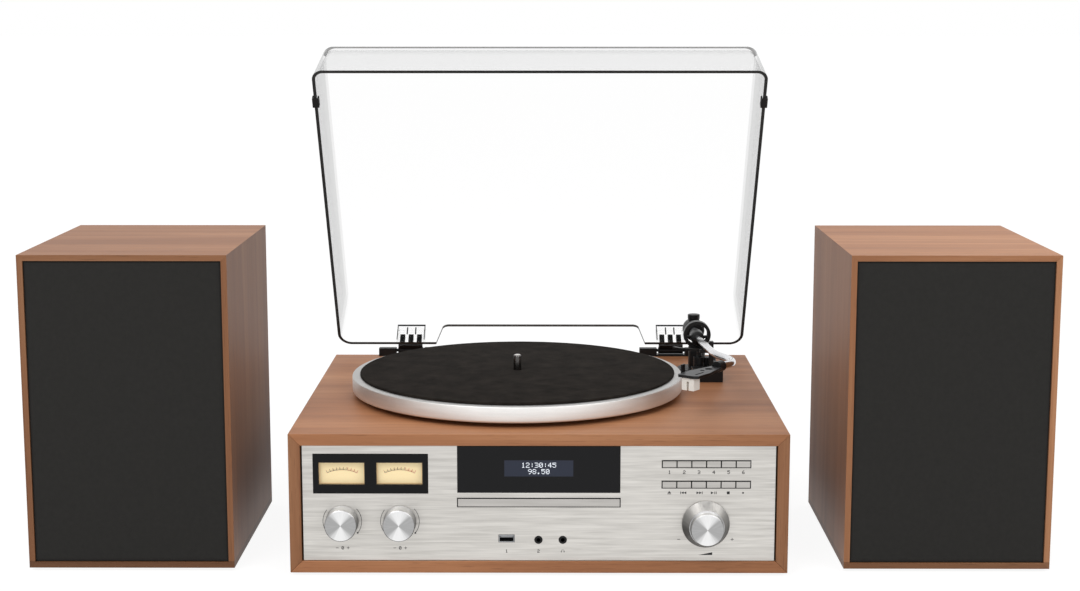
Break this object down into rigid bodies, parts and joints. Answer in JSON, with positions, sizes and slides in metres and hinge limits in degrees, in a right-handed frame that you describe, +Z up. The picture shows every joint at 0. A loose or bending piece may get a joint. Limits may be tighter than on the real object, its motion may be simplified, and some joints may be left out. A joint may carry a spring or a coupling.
{
  "type": "stereo music centre",
  "caption": "Stereo music centre: wooden cabinet with record deck, disc drawer, radio and level meters under a hinged clear cover, with separate loudspeakers.",
  "frame": {"origin": "middle of the whole set, on the surface that it stands on", "axes": "+X to the right seen from the front, +Y to the back, +Z up"},
  "size_m": [0.8688, 0.4207, 0.4391],
  "materials": {
    "walnut": "satin lacquered veneer",
    "brushed_panel": "fine brushed",
    "spun_knob": "spun and polished",
    "platter_metal": "satin",
    "chrome_tube": "polished",
    "steel": "plain",
    "black_gloss": "polished",
    "black_plastic": "satin moulded",
    "rubber": "matte",
    "felt": "felt",
    "grille_cloth": "woven",
    "clear_acrylic": "polished clear",
    "dial_face": "lit from behind",
    "circuit_board": "solder mask",
    "copper_steel": "laminated core",
    "socket_metal": "plated",
    "white_plastic": "moulded",
    "cone_paper": "pressed pulp",
    "pulley_brass": "turned"
  },
  "bodies": {
    "cabinet": {"top_board": "walnut", "bottom_board": "walnut", "side_boards": "walnut", "front_panel": "brushed_panel", "rear_panel": "black_plastic", "unit_feet": "rubber", "meter_bezel": "black_gloss", "meter_dials": "dial_face", "display_window": "black_gloss", "front_board": "circuit_board", "amplifier_board": "circuit_board", "transformer": "copper_steel", "sockets": "socket_metal", "cd_mechanism": "steel", "platter_motor": "steel", "drive_belt": "rubber", "bearing_housing": "pulley_brass", "arm_base": "black_plastic", "hinge_brackets": "black_plastic"},
    "needle_left": {"meter_needle_left": "black_plastic"},
    "needle_right": {"meter_needle_right": "black_plastic"},
    "drawer": {"cd_drawer": "brushed_panel"},
    "bass_control": {"bass_knob": "spun_knob"},
    "treble_control": {"treble_knob": "spun_knob"},
    "volume_control": {"volume_knob": "spun_knob"},
    "turntable": {"platter": "platter_metal", "slip_mat": "felt"},
    "pulley": {"motor_pulley": "pulley_brass"},
    "yoke": {"arm_yoke": "black_plastic"},
    "arm": {"arm_tube": "chrome_tube", "headshell": "steel", "cartridge": "white_plastic"},
    "weight": {"counterweight": "steel"},
    "lever": {"cue_lever": "black_plastic"},
    "lift": {"cue_lift": "black_plastic"},
    "lid": {"dust_cover": "clear_acrylic", "hinge_arms": "black_plastic", "lid_bumpers": "rubber"},
    "power_key": {"power_button": "brushed_panel"},
    "pair_key": {"pair_button": "brushed_panel"},
    "repeat_key": {"repeat_button": "brushed_panel"},
    "scan_key": {"scan_button": "brushed_panel"},
    "tune_down_key": {"tune_down_button": "brushed_panel"},
    "tune_up_key": {"tune_up_button": "brushed_panel"},
    "eject_key": {"eject_button": "brushed_panel"},
    "previous_key": {"previous_button": "brushed_panel"},
    "next_key": {"next_button": "brushed_panel"},
    "play_key": {"play_button": "brushed_panel"},
    "stop_key": {"stop_button": "brushed_panel"},
    "function_key": {"function_button": "brushed_panel"},
    "speaker_left": {"speaker_box_left": "walnut", "woofer_left": "black_plastic", "tweeter_left": "black_plastic"},
    "grille_cover_left": {"grille_left": "grille_cloth"},
    "cone_left": {"woofer_cone_left": "cone_paper"},
    "speaker_right": {"speaker_box_right": "walnut", "woofer_right": "black_plastic", "tweeter_right": "black_plastic"},
    "grille_cover_right": {"grille_right": "grille_cloth"},
    "cone_right": {"woofer_cone_right": "cone_paper"}
  },
  "joints": [
    {"name": "lid_hinge", "type": "hinge", "parent": "cabinet", "child": "lid", "pos_m": [0, 0.1605, 0.128], "axis": [1, 0, 0], "range_deg": [0, 57.8]},
    {"name": "platter_spin", "type": "hinge", "parent": "cabinet", "child": "turntable", "pos_m": [-0.0207, -0.0208, 0.1416], "axis": [0, 0, 1], "continuous": true},
    {"name": "pulley_spin", "type": "hinge", "parent": "cabinet", "child": "pulley", "pos_m": [-0.10131, 0.05981, 0.123], "axis": [0, 0, 1], "continuous": true},
    {"name": "arm_swing", "type": "hinge", "parent": "cabinet", "child": "yoke", "pos_m": [0.153, 0.0752, 0.1575], "axis": [0, 0, 1], "range_deg": [-42, 0]},
    {"name": "arm_tilt", "type": "hinge", "parent": "yoke", "child": "arm", "pos_m": [0.153, 0.0752, 0.1575], "axis": [-1, 0, 0], "range_deg": [-0.8, 4.5]},
    {"name": "weight_turn", "type": "hinge", "parent": "arm", "child": "weight", "pos_m": [0.153, 0.0752, 0.1575], "axis": [0, 1, 0], "range_deg": [-180, 180]},
    {"name": "cue_lever_turn", "type": "hinge", "parent": "cabinet", "child": "lever", "pos_m": [0.166, 0.0492, 0.139], "axis": [-1, 0, 0], "range_deg": [0, 60]},
    {"name": "cue_lift_rise", "type": "slide", "parent": "cabinet", "child": "lift", "axis": [0, 0, 1], "range_m": [0, 0.0012]},
    {"name": "drawer_slide", "type": "slide", "parent": "cabinet", "child": "drawer", "axis": [0, -1, 0], "range_m": [0, 0.135]},
    {"name": "bass_turn", "type": "hinge", "parent": "cabinet", "child": "bass_control", "pos_m": [-0.1656, -0.1908, 0.0473], "axis": [0, 1, 0], "range_deg": [-150, 150]},
    {"name": "treble_turn", "type": "hinge", "parent": "cabinet", "child": "treble_control", "pos_m": [-0.117, -0.1908, 0.0473], "axis": [0, 1, 0], "range_deg": [-150, 150]},
    {"name": "volume_turn", "type": "hinge", "parent": "cabinet", "child": "volume_control", "pos_m": [0.14055, -0.1908, 0.0455], "axis": [0, 1, 0], "range_deg": [-150, 150]},
    {"name": "power_press", "type": "slide", "parent": "cabinet", "child": "power_key", "axis": [0, 1, 0], "range_m": [0, 0.0008], "stiffness_N_per_m": 400},
    {"name": "pair_press", "type": "slide", "parent": "cabinet", "child": "pair_key", "axis": [0, 1, 0], "range_m": [0, 0.0008], "stiffness_N_per_m": 400},
    {"name": "repeat_press", "type": "slide", "parent": "cabinet", "child": "repeat_key", "axis": [0, 1, 0], "range_m": [0, 0.0008], "stiffness_N_per_m": 400},
    {"name": "scan_press", "type": "slide", "parent": "cabinet", "child": "scan_key", "axis": [0, 1, 0], "range_m": [0, 0.0008], "stiffness_N_per_m": 400},
    {"name": "tune_down_press", "type": "slide", "parent": "cabinet", "child": "tune_down_key", "axis": [0, 1, 0], "range_m": [0, 0.0008], "stiffness_N_per_m": 400},
    {"name": "tune_up_press", "type": "slide", "parent": "cabinet", "child": "tune_up_key", "axis": [0, 1, 0], "range_m": [0, 0.0008], "stiffness_N_per_m": 400},
    {"name": "eject_press", "type": "slide", "parent": "cabinet", "child": "eject_key", "axis": [0, 1, 0], "range_m": [0, 0.0008], "stiffness_N_per_m": 400},
    {"name": "previous_press", "type": "slide", "parent": "cabinet", "child": "previous_key", "axis": [0, 1, 0], "range_m": [0, 0.0008], "stiffness_N_per_m": 400},
    {"name": "next_press", "type": "slide", "parent": "cabinet", "child": "next_key", "axis": [0, 1, 0], "range_m": [0, 0.0008], "stiffness_N_per_m": 400},
    {"name": "play_press", "type": "slide", "parent": "cabinet", "child": "play_key", "axis": [0, 1, 0], "range_m": [0, 0.0008], "stiffness_N_per_m": 400},
    {"name": "stop_press", "type": "slide", "parent": "cabinet", "child": "stop_key", "axis": [0, 1, 0], "range_m": [0, 0.0008], "stiffness_N_per_m": 400},
    {"name": "function_press", "type": "slide", "parent": "cabinet", "child": "function_key", "axis": [0, 1, 0], "range_m": [0, 0.0008], "stiffness_N_per_m": 400},
    {"name": "needle_left_swing", "type": "hinge", "parent": "cabinet", "child": "needle_left", "pos_m": [-0.1656, -0.186, 0.0656], "axis": [0, 1, 0], "range_deg": [0, 52], "stiffness_Nm_per_rad": 0.001},
    {"name": "needle_right_swing", "type": "hinge", "parent": "cabinet", "child": "needle_right", "pos_m": [-0.117, -0.186, 0.0656], "axis": [0, 1, 0], "range_deg": [0, 52], "stiffness_Nm_per_rad": 0.001},
    {"name": "speaker_left_shift", "type": "slide", "parent": "cabinet", "child": "speaker_left", "axis": [-1, 0, 0], "range_m": [0, 0.3]},
    {"name": "grille_left_pull", "type": "slide", "parent": "speaker_left", "child": "grille_cover_left", "axis": [0, -1, 0], "range_m": [0, 0.05]},
    {"name": "cone_left_stroke", "type": "slide", "parent": "speaker_left", "child": "cone_left", "axis": [0, -1, 0], "range_m": [-0.003, 0.003], "stiffness_N_per_m": 1500},
    {"name": "speaker_right_shift", "type": "slide", "parent": "cabinet", "child": "speaker_right", "axis": [1, 0, 0], "range_m": [0, 0.3]},
    {"name": "grille_right_pull", "type": "slide", "parent": "speaker_right", "child": "grille_cover_right", "axis": [0, -1, 0], "range_m": [0, 0.05]},
    {"name": "cone_right_stroke", "type": "slide", "parent": "speaker_right", "child": "cone_right", "axis": [0, -1, 0], "range_m": [-0.003, 0.003], "stiffness_N_per_m": 1500}
  ],
  "couplings": [
    {"joint": "pulley_spin", "follows": "platter_spin", "ratio": 15},
    {"joint": "cue_lever_turn", "follows": "cue_lift_rise", "rad_per_m": 872.6}
  ]
}
